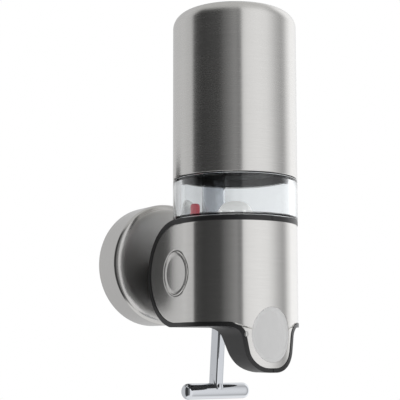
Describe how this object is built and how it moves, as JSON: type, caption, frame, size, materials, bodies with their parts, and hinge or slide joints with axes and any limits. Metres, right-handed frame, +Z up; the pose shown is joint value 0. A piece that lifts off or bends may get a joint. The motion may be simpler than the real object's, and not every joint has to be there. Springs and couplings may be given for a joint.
{
  "type": "wall mounted soap dispenser",
  "caption": "Round steel soap pump on a wall plate, with a clear reservoir under a lift-off cover, side release buttons and a T-shaped pull lever.",
  "frame": {"origin": "centre of the wall plate's back, on the wall", "axes": "+X to the right as seen from the room, +Y into the wall, +Z up"},
  "size_m": [0.0788, 0.137, 0.2305],
  "materials": {
    "brushed_skin": "horizontal brush grain, satin",
    "polished": "polished",
    "dark_plastic": "fine satin",
    "clear_jar": "clear, glossy",
    "light_plastic": "satin",
    "pad_plastic": "soft matt",
    "white_plastic": "moulded",
    "red_silicone": "soft, matt",
    "grey_silicone": "soft, matt",
    "plain_steel": "bright zinc",
    "foam": "closed-cell foam"
  },
  "bodies": {
    "wall_mount": {"wall_pad": "foam", "wall_bracket": "dark_plastic", "wall_plate": "brushed_skin", "neck": "dark_plastic", "chassis_left": "dark_plastic", "chassis_right": "dark_plastic", "chassis_screws": "plain_steel", "body_shell": "brushed_skin", "thumb_pad": "pad_plastic", "top_ring": "dark_plastic", "reservoir_gasket": "grey_silicone", "reservoir": "clear_jar", "vent_valve": "red_silicone", "vent_tube": "clear_jar", "reservoir_nut": "white_plastic", "intake_dome": "light_plastic", "pump_cylinder": "white_plastic", "outlet_valve": "red_silicone", "inlet_valve": "red_silicone", "cylinder_cap": "white_plastic", "outlet_tube": "grey_silicone", "spout": "light_plastic", "lever_pin": "plain_steel", "lever_bushes": "white_plastic"},
    "cover": {"top_cover": "brushed_skin", "cover_liner": "dark_plastic", "cover_seal": "grey_silicone"},
    "lever": {"pull_lever": "polished", "pull_bar": "polished"},
    "piston": {"piston": "white_plastic", "piston_seal": "grey_silicone", "return_spring": "plain_steel"},
    "button_left": {"release_button_left": "brushed_skin", "latch_left": "dark_plastic"},
    "button_right": {"release_button_right": "brushed_skin", "latch_right": "dark_plastic"}
  },
  "joints": [
    {"name": "cover_lift", "type": "slide", "parent": "wall_mount", "child": "cover", "axis": [0, 0, 1], "range_m": [0, 0.13]},
    {"name": "lever_pull", "type": "hinge", "parent": "wall_mount", "child": "lever", "pos_m": [0, -0.0834, -0.025], "axis": [-1, 0, 0], "range_deg": [0, 22], "stiffness_Nm_per_rad": 0.35, "springref_deg": -14.32},
    {"name": "piston_slide", "type": "slide", "parent": "wall_mount", "child": "piston", "axis": [0, 0, 1], "range_m": [0, 0.0066], "deforming": ["return_spring"]},
    {"name": "button_left_press", "type": "slide", "parent": "wall_mount", "child": "button_left", "axis": [1, 0, 0], "range_m": [0, 0.0025], "stiffness_N_per_m": 1500, "springref_m": -0.001},
    {"name": "button_right_press", "type": "slide", "parent": "wall_mount", "child": "button_right", "axis": [-1, 0, 0], "range_m": [0, 0.0025], "stiffness_N_per_m": 1500, "springref_m": -0.001}
  ],
  "couplings": [
    {"joint": "piston_slide", "follows": "lever_pull", "m_per_rad": 0.0166}
  ]
}
